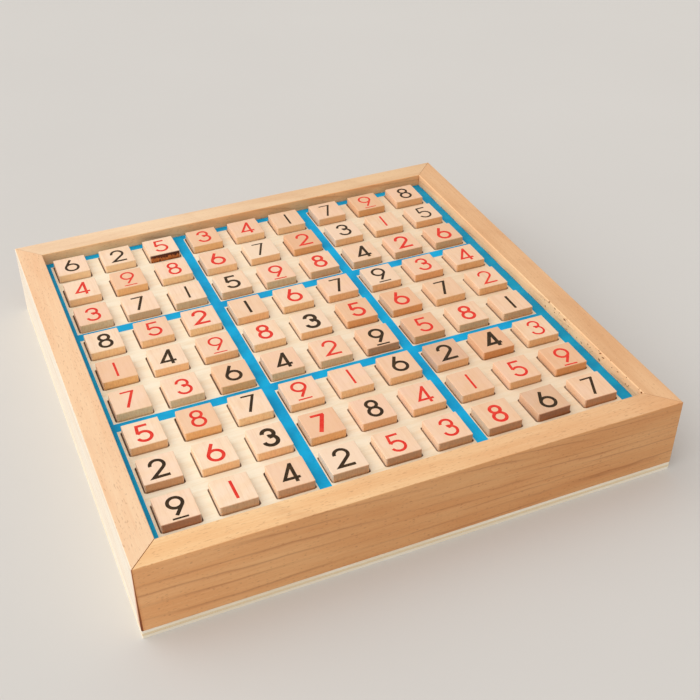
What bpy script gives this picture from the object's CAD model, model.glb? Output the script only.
import math
import random

import bmesh
import bpy
from mathutils import Matrix, Quaternion, Vector


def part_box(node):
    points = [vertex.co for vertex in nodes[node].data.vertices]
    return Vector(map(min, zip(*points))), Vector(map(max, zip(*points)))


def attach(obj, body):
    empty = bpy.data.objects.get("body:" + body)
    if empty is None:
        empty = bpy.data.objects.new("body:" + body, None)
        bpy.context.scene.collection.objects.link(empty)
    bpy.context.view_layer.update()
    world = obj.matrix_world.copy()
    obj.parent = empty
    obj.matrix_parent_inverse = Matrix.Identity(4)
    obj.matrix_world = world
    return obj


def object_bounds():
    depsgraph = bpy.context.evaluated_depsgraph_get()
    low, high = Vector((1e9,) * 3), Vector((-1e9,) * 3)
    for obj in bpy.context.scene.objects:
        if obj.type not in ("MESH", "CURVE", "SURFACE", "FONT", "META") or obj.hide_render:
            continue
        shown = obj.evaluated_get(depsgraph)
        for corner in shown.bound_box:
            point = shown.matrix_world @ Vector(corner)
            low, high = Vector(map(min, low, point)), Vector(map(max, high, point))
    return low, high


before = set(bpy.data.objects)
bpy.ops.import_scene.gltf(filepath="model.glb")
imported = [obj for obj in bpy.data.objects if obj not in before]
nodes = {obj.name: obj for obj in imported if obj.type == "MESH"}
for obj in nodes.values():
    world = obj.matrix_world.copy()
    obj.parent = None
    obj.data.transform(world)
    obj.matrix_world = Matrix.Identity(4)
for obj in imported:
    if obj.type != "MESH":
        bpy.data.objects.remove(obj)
cad_low, cad_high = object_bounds()

# Units: the frame is in metres, and the sizes below are in millimetres
MM = 0.001
HALF_BOARD = cad_high.x / MM

# The photograph's camera, found by fitting the board's corners
IMAGE_SIDE = 700
AXIS_COLUMN = 325
SENSOR_WIDTH = 36.0
LENS = 57.042
CAMERA_PLACE = Vector((-195.58, -500.12, 425.32)) * MM
CAMERA_AIM = Vector((-6.84, -31.84, 47.6)) * MM
CAMERA_ROLL = math.radians(-0.872)

# Light: a broad soft lamp high on the left and an even sky
LAMP_STRENGTH = 2.25
LAMP_SOFTNESS = math.radians(100)
LAMP_ELEVATION = math.radians(42)
LAMP_BEARING = math.radians(172)
SKY_STRENGTH = 0.55
FLOOR_SIDE = 40.0

# Numbers of the solved puzzle, back row first
SOLUTION = (
    "625341798",
    "498672315",
    "371598426",
    "852167934",
    "149835672",
    "736429581",
    "587916243",
    "263784159",
    "914253867",
)
CELLS = 9
BLOCK = 3

# Weights of the print, from thin to heavy, and which one each number has
PRINT_WEIGHTS = {"1": 1.3, "2": 1.6, "3": 1.9, "4": 2.3}
PRINT_WEIGHT_ROWS = (
    "222221112",
    "212312211",
    "221323333",
    "323232222",
    "131343321",
    "223323232",
    "322213341",
    "334432122",
    "323322332",
)
PRINT_THICKNESS = 0.05
PRINT_SLIP = 0.5
PRINT_TURN = math.radians(1.5)
PRINT_SEED = 9
ARC_STEP = math.radians(9)


def srgb(red, green, blue):
    """A colour written as 0 to 255 screen values, as Blender's linear values."""
    linear = []
    for value in (red, green, blue):
        share = value / 255
        linear.append(share / 12.92 if share <= 0.04045 else ((share + 0.055) / 1.055) ** 2.4)
    return (*linear, 1.0)


BACKDROP = srgb(213, 208, 202)


# Camera, floor and light
def add_camera():
    """The photograph's camera, with the picture's axis to the left of its middle."""
    data = bpy.data.cameras.new("camera")
    data.sensor_width = SENSOR_WIDTH
    data.lens = LENS
    data.shift_x = (IMAGE_SIDE / 2 - AXIS_COLUMN) / IMAGE_SIDE
    camera = bpy.data.objects.new("camera", data)
    camera.location = CAMERA_PLACE
    camera.rotation_mode = "QUATERNION"
    level = (CAMERA_AIM - CAMERA_PLACE).to_track_quat("-Z", "Y")
    camera.rotation_quaternion = level @ Quaternion((0, 0, 1), CAMERA_ROLL)
    bpy.context.scene.collection.objects.link(camera)
    bpy.context.scene.camera = camera


def add_lamp():
    """One broad lamp, so soft that the shadows have no sharp edge."""
    data = bpy.data.lights.new("soft_lamp", "SUN")
    data.energy = LAMP_STRENGTH
    data.angle = LAMP_SOFTNESS
    data.color = srgb(255, 252, 248)[:3]
    lamp = bpy.data.objects.new("soft_lamp", data)
    reach = math.cos(LAMP_ELEVATION)
    towards = Vector((
        reach * math.cos(LAMP_BEARING),
        reach * math.sin(LAMP_BEARING),
        math.sin(LAMP_ELEVATION),
    ))
    lamp.rotation_mode = "QUATERNION"
    lamp.rotation_quaternion = towards.to_track_quat("Z", "Y")
    bpy.context.scene.collection.objects.link(lamp)


def add_sky():
    """An even sky that lights the board, and a plain backdrop where the view goes past the floor."""
    world = bpy.data.worlds.new("studio")
    world.use_nodes = True
    tree = world.node_tree
    sky = tree.nodes["Background"]
    sky.inputs["Color"].default_value = srgb(255, 254, 253)
    sky.inputs["Strength"].default_value = SKY_STRENGTH
    backdrop = tree.nodes.new("ShaderNodeBackground")
    backdrop.inputs["Color"].default_value = BACKDROP
    path = tree.nodes.new("ShaderNodeLightPath")
    seen = path.outputs["Is Camera Ray"]
    for ray in ("Is Glossy Ray", "Is Transmission Ray"):
        either = tree.nodes.new("ShaderNodeMath")
        either.operation = "MAXIMUM"
        tree.links.new(seen, either.inputs[0])
        tree.links.new(path.outputs[ray], either.inputs[1])
        seen = either.outputs[0]
    mix = tree.nodes.new("ShaderNodeMixShader")
    tree.links.new(seen, mix.inputs[0])
    tree.links.new(sky.outputs[0], mix.inputs[1])
    tree.links.new(backdrop.outputs[0], mix.inputs[2])
    tree.links.new(mix.outputs[0], tree.nodes["World Output"].inputs["Surface"])
    bpy.context.scene.world = world


def add_floor():
    """The plain pale floor that the board stands on."""
    made = bmesh.new()
    bmesh.ops.create_grid(made, x_segments=1, y_segments=1, size=FLOOR_SIDE / 2)
    floor = finish_mesh("floor", made)
    floor.location.z = cad_low.z
    painter = Painter("floor_paper")
    cloud = painter.noise(painter.place, 180, detail=3)
    painter.colour(painter.mix(cloud, srgb(210, 207, 203), srgb(214, 211, 207)))
    painter.shader.inputs["Roughness"].default_value = 0.9
    painter.shader.inputs["Specular IOR Level"].default_value = FLOOR_SHINE
    paint(floor, painter.material)


# Meshes
def finish_mesh(name, made):
    """Turns a bmesh into an object in the scene."""
    mesh = bpy.data.meshes.new(name)
    made.to_mesh(mesh)
    made.free()
    piece = bpy.data.objects.new(name, mesh)
    bpy.context.scene.collection.objects.link(piece)
    return piece


def paint(piece, material):
    piece.data.materials.clear()
    piece.data.materials.append(material)


# Places of the pockets, from the corners of the pocketed sheet itself
def corner_groups(axis):
    """Places of the pockets' rounded corners along one axis, one group for each end of a pocket."""
    low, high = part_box("grid_sheet")
    rim = 1 * MM
    clear = 5 * MM
    inner = sorted({
        round(vertex.co[axis], 6)
        for vertex in nodes["grid_sheet"].data.vertices
        if low[axis] + rim < vertex.co[axis] < high[axis] - rim
    })
    groups = [[inner[0]]]
    for value in inner[1:]:
        if value - groups[-1][-1] > clear:
            groups.append([])
        groups[-1].append(value)
    return groups


def pocket_edges(axis):
    """Lower and upper edge of each row or column of pockets along one axis, in metres."""
    groups = corner_groups(axis)
    return [(near[0], far[-1]) for near, far in zip(groups[::2], groups[1::2])]


def pocket_corner():
    """Radius of the pockets' corners, in metres."""
    first = corner_groups(0)[0]
    return first[-1] - first[0]


COLUMN_EDGES = pocket_edges(0)
ROW_EDGES = list(reversed(pocket_edges(1)))
POCKET_SIDE = COLUMN_EDGES[0][1] - COLUMN_EDGES[0][0]
POCKET_CORNER = pocket_corner()
PITCH = (COLUMN_EDGES[-1][0] - COLUMN_EDGES[0][0]) / (CELLS - 1)
GRID_LEFT = COLUMN_EDGES[0][0] - (PITCH - POCKET_SIDE) / 2
GRID_FRONT = ROW_EDGES[-1][0] - (PITCH - POCKET_SIDE) / 2


# Where the wood changes its colour from left to right or along a rail, as shares of half the board
BOARD_FADE = 0.83
FRONT_FADE_END = -0.13
BACK_FADE = (-0.73, 0.27)
PITS_FADE = (-0.07, -0.33)
LEFT_FADE_END = 0.3

# Depth of a rail's inner wall and outer face that have a colour of their own, and of its torn spots
WALL_DEPTH = 0.4
FACE_DEPTH = 1.0
PIT_DEPTH = (1.2, 2.2)

# Width of the glue line at the base and at the rim, and the print's dark strip by the right wall
GLUE_WIDTH = (1.0, 0.3)
DARK_STRIP = (13.0, 5.0)

# Strength of the shine on bare wood, on the blue print, on the numbers and on the floor
WOOD_SHINE = 0.3
BLUE_SHINE = 0.15
INK_SHINE = 0.2
FLOOR_SHINE = 0.1

# Distances that give every piece and every tile a grain of its own, and the draws for its two tones
SEED_SHIFT = 37.0
TILE_SHIFT = (91.0, 57.0, 33.0)
FACE_DRAW = 3.0
END_DRAW = 8.0

# Tiles of a colour of their own, as (row, column)
GREY_TILES = ((9, 8), (7, 7))
ORANGE_TILES = (
    (1, 4), (1, 8), (2, 2), (2, 6), (5, 1), (5, 6), (5, 7),
    (6, 3), (6, 7), (7, 2), (7, 8), (8, 4), (8, 9),
)
PALE_TILES = ((2, 5), (2, 7), (2, 9), (4, 7), (5, 5), (9, 4))
DARK_ENDS = ((9, 1), (9, 8), (8, 1), (6, 6))
BURNT_ENDS = ((1, 3),)

# How deep below the tile's top a burnt end turns from black to brown
SCORCH_DEPTH = (1.0, 3.5)

# Rows from the front between which the tiles' ends turn paler
PALE_ROWS = (5.5, 8.5)


# Materials
class Painter:
    """Lays out the nodes of one material, with places in millimetres of the part's own frame."""

    def __init__(self, name):
        self.material = bpy.data.materials.new(name)
        self.material.use_nodes = True
        self.tree = self.material.node_tree
        self.shader = self.tree.nodes["Principled BSDF"]
        source = self.node("ShaderNodeTexCoord")
        self.place = self.vector("MULTIPLY", source.outputs["Object"], (1 / MM, 1 / MM, 1 / MM))
        self.x, self.y, self.z = self.split(self.place)
        facing = self.vector("ABSOLUTE", source.outputs["Normal"])
        self.facing_x, self.facing_y, self.facing_z = self.split(facing)

    def node(self, kind, **settings):
        made = self.tree.nodes.new(kind)
        for key, value in settings.items():
            setattr(made, key, value)
        return made

    def feed(self, socket, value):
        if isinstance(value, bpy.types.NodeSocket):
            self.tree.links.new(value, socket)
        else:
            socket.default_value = value

    def math(self, operation, *values):
        made = self.node("ShaderNodeMath", operation=operation)
        for socket, value in zip(made.inputs, values):
            self.feed(socket, value)
        return made.outputs[0]

    def vector(self, operation, *values):
        made = self.node("ShaderNodeVectorMath", operation=operation)
        for socket, value in zip(made.inputs, values):
            self.feed(socket, value)
        return made.outputs["Value" if operation == "LENGTH" else "Vector"]

    def split(self, vector):
        made = self.node("ShaderNodeSeparateXYZ")
        self.feed(made.inputs[0], vector)
        return made.outputs

    def join(self, x, y, z):
        made = self.node("ShaderNodeCombineXYZ")
        for socket, value in zip(made.inputs, (x, y, z)):
            self.feed(socket, value)
        return made.outputs[0]

    def noise(self, place, size, detail=2.0, distortion=0.0):
        """Cloudy values about 0.5, with patches of about the size in millimetres."""
        made = self.node("ShaderNodeTexNoise")
        self.feed(made.inputs["Vector"], place)
        made.inputs["Scale"].default_value = 1 / size
        made.inputs["Detail"].default_value = detail
        made.inputs["Distortion"].default_value = distortion
        return made.outputs["Fac"]

    def chances(self, place):
        """Three even chances from 0 to 1 for each whole-numbered place."""
        made = self.node("ShaderNodeTexWhiteNoise", noise_dimensions="3D")
        self.feed(made.inputs["Vector"], place)
        return self.split(made.outputs["Color"])

    def span(self, value, low, high, start=0.0, end=1.0):
        """A smooth step from start to end as the value goes from low to high."""
        made = self.node("ShaderNodeMapRange", interpolation_type="SMOOTHSTEP")
        for socket, number in zip(made.inputs, (value, low, high, start, end)):
            self.feed(socket, number)
        return made.outputs[0]

    def curve(self, value, *stops):
        """A grey ramp through (position, height) stops."""
        made = self.node("ShaderNodeValToRGB")
        points = made.color_ramp.elements
        while len(points) < len(stops):
            points.new(1.0)
        for point, (position, height) in zip(points, stops):
            point.position = position
            point.color = (height, height, height, 1)
        self.feed(made.inputs[0], value)
        return made.outputs["Color"]

    def mix(self, amount, first, second, blend="MIX"):
        made = self.node("ShaderNodeMix", data_type="RGBA", blend_type=blend)
        self.feed(made.inputs[0], amount)
        self.feed(made.inputs[6], first)
        self.feed(made.inputs[7], second)
        return made.outputs[2]

    def total(self, *shares):
        """The sum of several (value, weight) shares."""
        result = 0.0
        for value, weight in shares:
            result = self.math("MULTIPLY_ADD", value, weight, result)
        return result

    def colour(self, value):
        self.feed(self.shader.inputs["Base Color"], value)

    def rough(self, value, low, high):
        self.feed(self.shader.inputs["Roughness"], self.span(value, 0.0, 1.0, low, high))

    def bump(self, height, depth):
        """Raises the surface by up to the depth in millimetres."""
        made = self.node("ShaderNodeBump")
        made.inputs["Distance"].default_value = depth * MM
        self.feed(made.inputs["Height"], height)
        self.feed(self.shader.inputs["Normal"], made.outputs["Normal"])


def stretched(painter, along, across, up, stretch, seed):
    """Places drawn out along the grain, so that noise there becomes streaks."""
    shift = SEED_SHIFT * seed
    return painter.join(
        painter.math("MULTIPLY_ADD", along, 1 / stretch, shift),
        painter.math("ADD", across, shift / 3),
        painter.math("ADD", up, shift / 5),
    )


def upright(painter, level=0.0):
    """A value of 1 on upright faces, which falls to a lower value on level ones."""
    return painter.span(painter.facing_z, 0.3, 0.6, 1.0, level)


def fade_right(painter, colour):
    """A colour that is a little deeper towards the right, away from the lamp."""
    right = painter.span(painter.x, -BOARD_FADE * HALF_BOARD, BOARD_FADE * HALF_BOARD)
    return painter.mix(right, colour, srgb(243, 233, 225), blend="MULTIPLY")


def growth_lines(painter, along, height, spacing, seed):
    """Thin dark late wood lines, as a value from 0 to 1, which run closer together along the grain."""
    place = stretched(painter, along, height, 0.0, 14, seed)
    broad = painter.noise(place, 9, detail=1)
    close = painter.noise(stretched(painter, along, height, 0.0, 5, seed), 4, detail=1)
    start, end = spacing
    gap = painter.span(along, -HALF_BOARD, HALF_BOARD, start, end)
    rise = painter.total((height, 1.0), (broad, 8.0), (close, 2.0))
    phase = painter.math("FRACT", painter.math("DIVIDE", rise, gap))
    line = painter.curve(phase, (0.0, 0.15), (0.1, 0.0), (0.72, 0.08), (0.93, 1.0), (1.0, 0.15))
    strength = painter.span(painter.noise(place, 6, detail=1), 0.35, 0.65, 0.1, 1.0)
    return painter.math("MULTIPLY", line, strength)


def beech(painter, grain, seed, light, dark, spacing=(8.0, 5.0), lines=0.3, flecks=0.1):
    """Smooth beech: soft growth lines, fine streaks and the short flecks of its rays."""
    along, across = (painter.x, painter.y) if grain == "x" else (painter.y, painter.x)
    up = painter.z
    height = painter.total((up, 1.0), (across, 0.12))
    growth = growth_lines(painter, along, height, spacing, seed)
    tone = painter.noise(stretched(painter, along, across, up, 6, seed), 14, detail=2)
    streaks = painter.noise(stretched(painter, along, across, up, 30, seed), 0.9, detail=3)
    pores = painter.noise(stretched(painter, along, across, up, 9, seed), 0.22, detail=1)
    rays = painter.noise(stretched(painter, along, across, up, 4.5, seed + 2), 0.5, detail=0)
    marks = painter.span(rays, 0.68, 0.78)
    depth = painter.total((tone, 0.55), (streaks, 0.3), (pores, 0.15))
    shade = painter.span(depth, 0.3, 0.7)
    wood = painter.mix(painter.math("MULTIPLY", shade, 0.7), light, dark)
    on_side = upright(painter, 0.3)
    figure = painter.math("MULTIPLY", growth, painter.math("MULTIPLY", on_side, lines))
    wood = painter.mix(figure, wood, srgb(156, 86, 44))
    wood = painter.mix(painter.math("MULTIPLY", marks, flecks), wood, srgb(158, 96, 58))
    painter.rough(shade, 0.45, 0.6)
    painter.bump(painter.total((pores, 0.6), (streaks, 0.3), (marks, -0.3)), 0.04)
    painter.shader.inputs["Specular IOR Level"].default_value = WOOD_SHINE
    return wood


def plain_beech(name, grain, seed, light, dark):
    """Beech of one colour all round."""
    painter = Painter(name)
    painter.colour(beech(painter, grain, seed, light, dark))
    return painter.material


def front_beech():
    """The front rail: orange, darker to the right, with the dark seam of the near corner."""
    painter = Painter("front_beech")
    light, dark = srgb(255, 215, 162), srgb(236, 175, 116)
    wood = beech(painter, "x", 1, light, dark, spacing=(8.0, 3.6), lines=0.42, flecks=0.3)
    on_face = painter.span(painter.facing_y, 0.4, 0.7)
    darker = painter.span(painter.x, -HALF_BOARD, HALF_BOARD)
    right_end = painter.mix(on_face, srgb(237, 229, 230), srgb(248, 246, 243))
    wood = painter.mix(darker, wood, right_end, blend="MULTIPLY")
    inwards = painter.span(painter.x, -HALF_BOARD, FRONT_FADE_END * HALF_BOARD)
    face = painter.mix(inwards, srgb(246, 225, 209), srgb(234, 213, 196))
    wood = painter.mix(on_face, wood, face, blend="MULTIPLY")
    painter.colour(near_corner_seam(painter, wood, 3.0, 0.5))
    return painter.material


def left_beech():
    """The left rail: pale wood, palest on its outer face and a little deeper to the back elsewhere."""
    painter = Painter("left_beech")
    outside = painter.math("LESS_THAN", painter.x, cad_low.x / MM + FACE_DEPTH)
    outer = painter.math("MULTIPLY", painter.span(painter.facing_x, 0.4, 0.7), outside)
    light = painter.mix(outer, srgb(253, 219, 180), srgb(245, 236, 220))
    dark = painter.mix(outer, srgb(240, 190, 146), srgb(240, 222, 198))
    wood = beech(painter, "y", 2, light, dark, lines=0.25, flecks=0.28)
    darker = painter.span(painter.y, -HALF_BOARD, LEFT_FADE_END * HALF_BOARD)
    darker = painter.math("MULTIPLY", darker, painter.math("SUBTRACT", 1.0, outer))
    wood = painter.mix(darker, wood, srgb(254, 247, 241), blend="MULTIPLY")
    painter.colour(near_corner_seam(painter, wood, 9.0, 0.9))
    return painter.material


def back_beech():
    """The back rail: pale on top and orange on its inner wall, both darker to the right."""
    painter = Painter("back_beech")
    inner = painter.math("LESS_THAN", painter.y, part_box("back_rail")[0].y / MM + WALL_DEPTH)
    light = painter.mix(inner, srgb(254, 224, 188), srgb(255, 218, 168))
    dark = painter.mix(inner, srgb(231, 188, 148), srgb(248, 190, 136))
    wood = beech(painter, "x", 5, light, dark, flecks=0.2)
    darker = painter.span(painter.x, -HALF_BOARD, HALF_BOARD)
    darker = painter.math("MULTIPLY", darker, painter.math("SUBTRACT", 1.0, inner))
    wood = painter.mix(darker, wood, srgb(236, 225, 210), blend="MULTIPLY")
    start, end = (share * HALF_BOARD for share in BACK_FADE)
    right = painter.math("MULTIPLY", inner, painter.span(painter.x, start, end))
    painter.colour(painter.mix(right, wood, srgb(246, 228, 212), blend="MULTIPLY"))
    return painter.material


def right_beech():
    """The right rail: pale on its inner wall, which has small torn spots, and deeper elsewhere."""
    painter = Painter("right_beech")
    inner = painter.math("LESS_THAN", painter.x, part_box("right_rail")[0].x / MM + WALL_DEPTH)
    light = painter.mix(inner, srgb(234, 188, 142), srgb(255, 216, 168))
    dark = painter.mix(inner, srgb(211, 155, 107), srgb(242, 180, 130))
    wood = beech(painter, "y", 4, light, dark, flecks=0.3)
    painter.colour(painter.mix(torn_pits(painter), wood, srgb(150, 92, 44)))
    return painter.material


def near_corner_seam(painter, wood, stain_reach, stain_strength):
    """Wood with the glue line of the near left mitre and its orange stain, both wider towards the base."""
    rim = cad_high.z / MM
    off_mitre = painter.math("ABSOLUTE", painter.math("SUBTRACT", painter.x, painter.y))
    left = painter.math("LESS_THAN", painter.x, 0.0)
    width = painter.span(painter.z, 0.0, rim, *GLUE_WIDTH)
    on_side = upright(painter)
    reach = painter.span(painter.z, 0.0, rim, stain_reach, stain_reach / 3)
    stain = painter.span(off_mitre, 0.0, reach, stain_strength, 0.0)
    stain = painter.math("MULTIPLY", painter.math("MULTIPLY", stain, left), on_side)
    wood = painter.mix(stain, wood, srgb(206, 120, 58))
    glue = painter.mix(painter.span(painter.z, 0.0, rim), srgb(134, 66, 24), srgb(178, 112, 60))
    edge = painter.math("MULTIPLY", painter.math("LESS_THAN", off_mitre, width), left)
    return painter.mix(edge, wood, glue)


def torn_pits(painter):
    """Small torn spots along the inner wall of the right rail."""
    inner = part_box("right_rail")[0].x / MM
    near, far = PIT_DEPTH
    wall = painter.span(painter.x, inner + near, inner + far, 1.0, 0.0)
    spots = painter.noise(stretched(painter, painter.y, painter.x, painter.z, 1.5, 3), 1.7, detail=1)
    start, end = (share * HALF_BOARD for share in PITS_FADE)
    patch = painter.span(painter.y, start, end)
    chosen = painter.math("MULTIPLY", painter.span(spots, 0.68, 0.72), wall)
    return painter.math("MULTIPLY", chosen, patch)


def plywood(name, light, dark, seed, plies):
    """Pale plywood: a quiet face grain, and plies in turn along the cut edges."""
    painter = Painter(name)
    low, high = (corner.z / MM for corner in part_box(name))
    figure = painter.noise(stretched(painter, painter.x, painter.y, painter.z, 18, seed), 3.2, detail=3)
    fine = painter.noise(stretched(painter, painter.x, painter.y, painter.z, 14, seed), 0.5, detail=2)
    face = painter.mix(painter.span(painter.total((figure, 0.7), (fine, 0.3)), 0.3, 0.75), light, dark)
    ply = painter.math("MULTIPLY", painter.math("SUBTRACT", painter.z, low), plies / (high - low) / 2)
    layer = painter.math("GREATER_THAN", painter.math("FRACT", ply), 0.5)
    ends = painter.noise(stretched(painter, painter.z, painter.x, painter.y, 2, seed), 0.4, detail=1)
    end_dark = painter.mix(painter.span(ends, 0.3, 0.7), dark, srgb(238, 214, 172))
    edge = painter.mix(layer, face, end_dark)
    on_edge = upright(painter)
    painter.colour(painter.mix(on_edge, face, edge))
    painter.rough(fine, 0.55, 0.7)
    painter.bump(fine, 0.04)
    painter.shader.inputs["Specular IOR Level"].default_value = WOOD_SHINE
    return painter.material


def pocket_distance(painter):
    """Distance in millimetres outside the nearest pocket, and a value of 1 to its left and right."""
    corner = POCKET_CORNER / MM
    reach = POCKET_SIDE / MM / 2 - corner
    beyond = []
    for place, start in ((painter.x, GRID_LEFT / MM), (painter.y, GRID_FRONT / MM)):
        cell = painter.math("FRACT", painter.math("MULTIPLY_ADD", place, MM / PITCH, -start * MM / PITCH))
        off_middle = painter.math("ABSOLUTE", painter.math("SUBTRACT", cell, 0.5))
        beyond.append(painter.math("MULTIPLY_ADD", off_middle, PITCH / MM, -reach))
    across, along = beyond
    outside = painter.vector("MAXIMUM", painter.join(across, along, 0.0), (0, 0, 0))
    inside = painter.math("MINIMUM", painter.math("MAXIMUM", across, along), 0.0)
    round_part = painter.math("ADD", painter.vector("LENGTH", outside), inside)
    beside = painter.span(painter.math("SUBTRACT", across, along), -0.5, 0.5)
    return painter.math("SUBTRACT", round_part, corner), beside


def cut_sheet():
    """The pocketed sheet: pale plywood, scorched where the pockets were cut."""
    painter = Painter("grid_sheet")
    light, dark = srgb(255, 245, 222), srgb(246, 227, 194)
    figure = painter.noise(stretched(painter, painter.x, painter.y, painter.z, 16, 4), 2.6, detail=3)
    fine = painter.noise(stretched(painter, painter.x, painter.y, painter.z, 12, 5), 0.45, detail=2)
    face = painter.mix(painter.span(painter.total((figure, 0.65), (fine, 0.35)), 0.35, 0.8), light, dark)
    smoke = painter.noise(painter.place, 5, detail=2)
    reach = painter.math("MULTIPLY_ADD", smoke, 0.5, 0.15)
    distance, beside = pocket_distance(painter)
    halo = painter.span(painter.math("DIVIDE", distance, reach), 0.0, 1.0, 0.75, 0.0)
    face = painter.mix(halo, face, srgb(176, 124, 74))
    burnt = painter.math("MULTIPLY", painter.span(distance, 0.0, 0.7, 0.9, 0.0), beside)
    face = painter.mix(burnt, face, srgb(92, 50, 26))
    char = painter.noise(stretched(painter, painter.z, painter.x, painter.y, 3, 6), 0.6, detail=2)
    wall = painter.mix(painter.span(char, 0.35, 0.7), srgb(62, 30, 16), srgb(122, 70, 38))
    on_wall = upright(painter)
    painter.colour(fade_right(painter, painter.mix(on_wall, face, wall)))
    painter.rough(fine, 0.5, 0.65)
    painter.bump(fine, 0.03)
    painter.shader.inputs["Specular IOR Level"].default_value = WOOD_SHINE
    return painter.material


def blue_print():
    """Printed blue ink, a little thin in places and darker beside the right wall."""
    painter = Painter("blue_print")
    cloud = painter.noise(painter.place, 11, detail=3)
    grain = painter.noise(stretched(painter, painter.x, painter.y, painter.z, 9, 2), 0.7, detail=2)
    ink = painter.mix(painter.span(cloud, 0.3, 0.7), srgb(8, 158, 213), srgb(10, 177, 230))
    thin = painter.span(grain, 0.62, 0.8, 0.0, 0.15)
    ink = painter.mix(thin, ink, srgb(120, 200, 230))
    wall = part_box("block_lines")[1].x / MM
    start, end = (wall - distance for distance in DARK_STRIP)
    beside_wall = painter.span(painter.x, start, end)
    painter.colour(painter.mix(beside_wall, ink, srgb(255, 230, 225), blend="MULTIPLY"))
    painter.rough(cloud, 0.5, 0.62)
    painter.bump(grain, 0.02)
    painter.shader.inputs["Specular IOR Level"].default_value = BLUE_SHINE
    return painter.material


def tile_cell(painter):
    """Column and row of the cell that a point lies in, counted from the left and the front."""
    column = painter.math("FLOOR", painter.math("MULTIPLY_ADD", painter.x, MM / PITCH, -GRID_LEFT / PITCH))
    row = painter.math("FLOOR", painter.math("MULTIPLY_ADD", painter.y, MM / PITCH, -GRID_FRONT / PITCH))
    return column, row


def chosen_tiles(painter, column, row, cells):
    """A value of 1 on the tiles listed as (row, column), and 0 elsewhere."""
    chosen = 0.0
    slack = 0.1
    for cell_row, cell_column in cells:
        in_column = painter.math("COMPARE", column, cell_column - 1.0, slack)
        in_row = painter.math("COMPARE", row, float(CELLS - cell_row), slack)
        chosen = painter.math("MULTIPLY_ADD", in_column, in_row, chosen)
    return chosen


def tile_wood():
    """Sanded tile wood: each tile has its own tint and grain, and darker end grain in front."""
    painter = Painter("tile_wood")
    column, row = tile_cell(painter)
    tint, tone = painter.chances(painter.join(column, row, FACE_DRAW))[:2]
    end_tone, end_tint, place = painter.chances(painter.join(column, row, END_DRAW))
    shift = painter.vector("MULTIPLY", painter.join(tint, tone, place), TILE_SHIFT)
    own = painter.vector("ADD", painter.place, shift)
    orange = chosen_tiles(painter, column, row, ORANGE_TILES)
    face, figure = tile_face(painter, column, row, orange, tint, tone, own)
    # The ends fade twice, so they are deeper to the right than the tops
    end = fade_right(painter, tile_end(painter, column, row, orange, end_tint, end_tone, own))
    on_end = painter.span(painter.facing_y, 0.6, 0.8)
    painter.colour(fade_right(painter, painter.mix(on_end, face, end)))
    painter.rough(figure, 0.45, 0.62)
    painter.bump(figure, 0.04)
    painter.shader.inputs["Specular IOR Level"].default_value = WOOD_SHINE
    return painter.material


def tile_face(painter, column, row, orange, tint, tone, own):
    """Long grain of a tile's top and sides: its colour, and the figure that roughens it."""
    x, y, z = painter.split(own)
    grain = painter.join(x, painter.math("MULTIPLY", y, 0.07), z)
    streaks = painter.noise(grain, 1.5, detail=3)
    fibres = painter.noise(grain, 0.35, detail=2)
    figure = painter.total((streaks, 0.6), (fibres, 0.4))
    blotch = painter.noise(own, 8, detail=2)
    face = painter.mix(tint, srgb(255, 229, 200), srgb(253, 214, 188))
    face = painter.mix(painter.span(blotch, 0.35, 0.7, 0.0, 0.5), face, srgb(252, 216, 176))
    face = painter.mix(painter.span(figure, 0.4, 0.75, 0.0, 0.45), face, srgb(234, 188, 150))
    face = painter.mix(painter.span(tone, 0.5, 1.0, 0.0, 0.3), face, srgb(236, 186, 144))
    face = painter.mix(painter.math("MULTIPLY", orange, 0.5), face, srgb(238, 182, 136))
    pale = chosen_tiles(painter, column, row, PALE_TILES)
    face = painter.mix(painter.math("MULTIPLY", pale, 0.5), face, srgb(255, 236, 212))
    grey = chosen_tiles(painter, column, row, GREY_TILES)
    face = painter.mix(grey, face, srgb(236, 230, 226), blend="MULTIPLY")
    return face, figure


def tile_end(painter, column, row, orange, tint, tone, own):
    """End grain of a tile: orange, darker in the front row, paler at the back, and burnt on one tile."""
    x, y, z = painter.split(own)
    rays = painter.noise(painter.join(x, y, painter.math("MULTIPLY", z, 0.3)), 0.7, detail=2)
    end = painter.mix(tint, srgb(255, 220, 168), srgb(254, 204, 150))
    end = painter.mix(painter.span(rays, 0.35, 0.75, 0.0, 0.4), end, srgb(226, 168, 120))
    end = painter.mix(painter.span(tone, 0.6, 1.0, 0.0, 0.35), end, srgb(204, 142, 92))
    front = painter.math("LESS_THAN", row, 0.5)
    end = painter.mix(front, end, srgb(246, 226, 220), blend="MULTIPLY")
    back = painter.span(row, *PALE_ROWS, 0.0, 0.5)
    end = painter.mix(back, end, srgb(255, 232, 192))
    dark = chosen_tiles(painter, column, row, DARK_ENDS)
    end = painter.mix(dark, end, srgb(214, 196, 190), blend="MULTIPLY")
    end = painter.mix(orange, end, srgb(247, 229, 206), blend="MULTIPLY")
    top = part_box("answer_tiles_block_1")[1].z / MM
    black, brown = (top - depth for depth in SCORCH_DEPTH)
    below = painter.span(painter.z, brown, black, 0.2, -0.1)
    ember = painter.span(painter.math("ADD", rays, below), 0.5, 0.72)
    scorch = painter.mix(ember, srgb(84, 36, 14), srgb(192, 112, 52))
    return painter.mix(chosen_tiles(painter, column, row, BURNT_ENDS), end, scorch)


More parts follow.
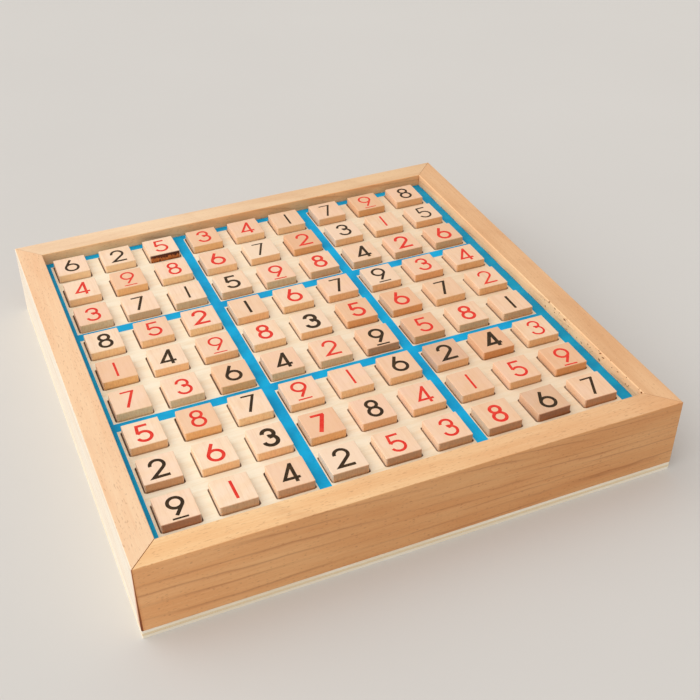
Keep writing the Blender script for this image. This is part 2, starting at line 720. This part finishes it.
def number_ink(name, full, worn):
    """Stamped ink, thinner where the grain took less of it."""
    painter = Painter(name)
    cloud = painter.noise(painter.place, 2.4, detail=3)
    specks = painter.noise(painter.place, 0.35, detail=1)
    ink = painter.mix(painter.span(cloud, 0.35, 0.75), full, worn)
    painter.colour(painter.mix(painter.span(specks, 0.66, 0.8, 0.0, 0.35), ink, srgb(214, 150, 116)))
    painter.rough(cloud, 0.4, 0.55)
    painter.bump(specks, 0.01)
    painter.shader.inputs["Specular IOR Level"].default_value = INK_SHINE
    return painter.material


def paint_wood():
    """Gives every CAD node its finish."""
    warm, tan = srgb(250, 213, 172), srgb(228, 180, 134)
    pale, straw = srgb(244, 214, 172), srgb(222, 180, 132)
    paint(nodes["front_rail"], front_beech())
    paint(nodes["left_rail"], left_beech())
    paint(nodes["right_rail"], right_beech())
    paint(nodes["back_rail"], back_beech())
    paint(nodes["drawer_front"], plain_beech("drawer_front", "y", 6, warm, tan))
    for seed, name in enumerate(("drawer_side_front", "drawer_side_back", "drawer_back")):
        grain = "y" if name == "drawer_back" else "x"
        paint(nodes[name], plain_beech(name, grain, 7 + seed, pale, straw))
    for seed, name in enumerate(("drawer_guide_front", "drawer_guide_back")):
        paint(nodes[name], plain_beech(name, "x", 10 + seed, pale, straw))
    cream, oat = srgb(255, 248, 232), srgb(246, 230, 200)
    paint(nodes["base_panel"], plywood("base_panel", cream, oat, 0, 3))
    for seed, name in enumerate(("floor_sheet", "drawer_bottom")):
        paint(nodes[name], plywood(name, oat, srgb(232, 206, 164), 1 + seed, 3))
    paint(nodes["grid_sheet"], cut_sheet())
    paint(nodes["block_lines"], blue_print())
    wood = tile_wood()
    for name, node in nodes.items():
        if "_tile" in name:
            paint(node, wood)


# Numbers
def arc(centre, radius, start, end):
    """Points along a round stretch, from one angle in degrees to another."""
    sweep = math.radians(end - start)
    steps = math.ceil(abs(sweep) / ARC_STEP)
    angles = [math.radians(start) + sweep * step / steps for step in range(steps + 1)]
    return [Vector((centre[0] + radius * math.cos(a), centre[1] + radius * math.sin(a))) for a in angles]


def ring(centre, radius):
    """Points of a whole circle, the last one short of the first."""
    return arc(centre, radius, 0, 360)[:-1]


def touch_angle(point, centre, radius, side):
    """Angle in degrees where a line from a point touches a circle, on its left (1) or right (-1) side."""
    offset = Vector(point) - Vector(centre)
    spread = math.acos(radius / offset.length)
    return math.degrees(math.atan2(offset.y, offset.x) + side * spread)


def line(*points):
    return [Vector(point) for point in points]


def strokes_of(number):
    """Strokes of a number as (points, closed, share of the weight), in millimetres about its middle."""
    if number == 1:
        return [(line((0, -6.6), (0, 6.6)), False, 1.0)]
    if number == 2:
        centre, radius, foot = (0, 2.7), 3.6, (-3.9, -6.2)
        leave = touch_angle(foot, centre, radius, 1)
        return [(arc(centre, radius, 185, leave) + line(foot, (4.6, -6.2)), False, 1.0)]
    if number == 3:
        upper = arc((0.2, 3.1), 3.1, 178, -95)
        lower = arc((0, -2.6), 3.7, 100, -172)
        return [(upper, False, 1.0), (lower, False, 1.0)]
    if number == 4:
        return [
            (line((2.2, 6.4), (-3.7, -4.0), (4.6, -4.0)), False, 0.95),
            (line((2.2, 7.0), (2.2, -7.0)), False, 1.0),
        ]
    if number == 5:
        flag = line((3.3, 6.2), (-2.3, 6.2), (-3.0, 0.1))
        return [(flag, False, 0.95), (arc((0, -2.5), 3.8, 143, -162), False, 1.0)]
    if number == 6:
        return round_and_tail((0, -2.3), 3.9, (0.1, 6.9))
    if number == 7:
        bar = line((-3.9, 6.4), (3.7, 6.4))
        stem = line((2.9, 6.4), (-2.5, -7.0))
        return [(bar, False, 0.75), (stem, False, 1.0)]
    if number == 8:
        return [(ring((0, 3.4), 2.85), True, 1.0), (ring((0, -2.8), 3.45), True, 1.0)]
    rule = line((-4.0, -8.1), (4.0, -8.1))
    return round_and_tail((0, 2.7), 3.75, (-1.2, -6.0)) + [(rule, False, 0.62)]


def round_and_tail(centre, radius, tip):
    """The bowl and straight tail of a six or a nine."""
    touch = math.radians(touch_angle(tip, centre, radius, 1))
    landing = (centre[0] + radius * math.cos(touch), centre[1] + radius * math.sin(touch))
    return [(ring(centre, radius), True, 1.0), (line(tip, landing), False, 1.0)]


def stroke_edges(points, closed, width):
    """Left and right edges of an even stroke, mitred at its corners."""
    left, right = [], []
    count = len(points)
    for index, point in enumerate(points):
        before = points[index - 1] if closed or index else None
        after = points[(index + 1) % count] if closed or index < count - 1 else None
        arriving = (point - before).normalized() if before else None
        leaving = (after - point).normalized() if after else None
        heading = ((arriving or leaving) + (leaving or arriving)).normalized()
        sideways = Vector((-heading.y, heading.x))
        reach = width / 2 / heading.dot(leaving or arriving)
        left.append(point + sideways * reach)
        right.append(point - sideways * reach)
    return left, right


def stroke_mesh(points, closed, width):
    """A thin flat stroke as a closed solid, in millimetres, standing on the tile's top."""
    made = bmesh.new()
    left, right = stroke_edges(points, closed, width)
    rails = []
    for edge, height in ((left, 1), (right, 1), (right, 0), (left, 0)):
        rails.append([made.verts.new((p.x, p.y, height)) for p in edge])
    count = len(points)
    for index in range(count if closed else count - 1):
        following = (index + 1) % count
        for near, far in zip(rails, rails[1:] + rails[:1]):
            made.faces.new((near[index], near[following], far[following], far[index]))
    if not closed:
        made.faces.new([rail[0] for rail in rails])
        made.faces.new([rail[-1] for rail in reversed(rails)])
    bmesh.ops.recalc_face_normals(made, faces=made.faces)
    return finish_mesh("stroke", made)


def number_mesh(number, weight):
    """All strokes of a number, joined into one clean solid."""
    strokes = [stroke_mesh(points, closed, weight * share) for points, closed, share in strokes_of(number)]
    whole = strokes[0]
    for other in strokes[1:]:
        joining = whole.modifiers.new("join", "BOOLEAN")
        joining.operation = "UNION"
        joining.solver = "EXACT"
        joining.object = other
    graph = bpy.context.evaluated_depsgraph_get()
    mesh = bpy.data.meshes.new_from_object(whole.evaluated_get(graph))
    for stroke in strokes:
        bpy.data.objects.remove(stroke)
    return mesh


def tile_place(node, row, column):
    """Middle of a tile's top and the tile's turn, from its own corners."""
    (left, right), (front, back) = COLUMN_EDGES[column - 1], ROW_EDGES[row - 1]
    corners = [
        vertex.co for vertex in nodes[node].data.vertices
        if left < vertex.co.x < right and front < vertex.co.y < back
    ]
    top = max(corner.z for corner in corners)
    slack = 0.1 * MM
    upper = [corner for corner in corners if corner.z > top - slack]
    middle = sum(upper, Vector()) / len(upper)
    quarter = math.pi / 2
    turns = [math.atan2(c.y - middle.y, c.x - middle.x) % quarter - quarter / 2 for c in upper]
    return middle, sum(turns) / len(turns)


def print_numbers(name, node, cells, ink, meshes, chance):
    """Prints the numbers on the tiles of one node, as one piece that moves with them."""
    made = bmesh.new()
    for row, column in cells:
        middle, turn = tile_place(node, row, column)
        slip = Vector((chance.uniform(-PRINT_SLIP, PRINT_SLIP), chance.uniform(-PRINT_SLIP, PRINT_SLIP), 0))
        turn += chance.uniform(-PRINT_TURN, PRINT_TURN)
        weight = PRINT_WEIGHTS[PRINT_WEIGHT_ROWS[row - 1][column - 1]]
        mesh = meshes(int(SOLUTION[row - 1][column - 1]), weight).copy()
        size = Matrix.Diagonal((MM, MM, PRINT_THICKNESS * MM, 1))
        mesh.transform(Matrix.Translation(middle + slip * MM) @ Matrix.Rotation(turn, 4, "Z") @ size)
        made.from_mesh(mesh)
        bpy.data.meshes.remove(mesh)
    piece = finish_mesh(name, made)
    paint(piece, ink)
    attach(piece, node)


def number_store():
    """Gives each number's mesh at each weight, made once."""
    kept = {}

    def fetch(number, weight):
        if (number, weight) not in kept:
            kept[number, weight] = number_mesh(number, weight)
        return kept[number, weight]

    return fetch


def block_of(row, column):
    return (row - 1) // BLOCK * BLOCK + (column - 1) // BLOCK + 1


def add_numbers():
    """Black numbers on the puzzle's own tiles and red ones on the player's."""
    black = number_ink("black_ink", srgb(44, 29, 8), srgb(68, 48, 20))
    red = number_ink("red_ink", srgb(226, 46, 34), srgb(236, 74, 54))
    meshes = number_store()
    chance = random.Random(PRINT_SEED)
    answers = {block: [] for block in range(1, CELLS + 1)}
    for row in range(1, CELLS + 1):
        for column in range(1, CELLS + 1):
            node = f"given_tile_r{row}_c{column}"
            if node in nodes:
                print_numbers(f"number_r{row}_c{column}", node, [(row, column)], black, meshes, chance)
            else:
                answers[block_of(row, column)].append((row, column))
    for block, cells in answers.items():
        print_numbers(f"numbers_block_{block}", f"answer_tiles_block_{block}", cells, red, meshes, chance)


bpy.context.scene.view_settings.view_transform = "Standard"
add_camera()
add_lamp()
add_sky()
add_floor()
paint_wood()
add_numbers()
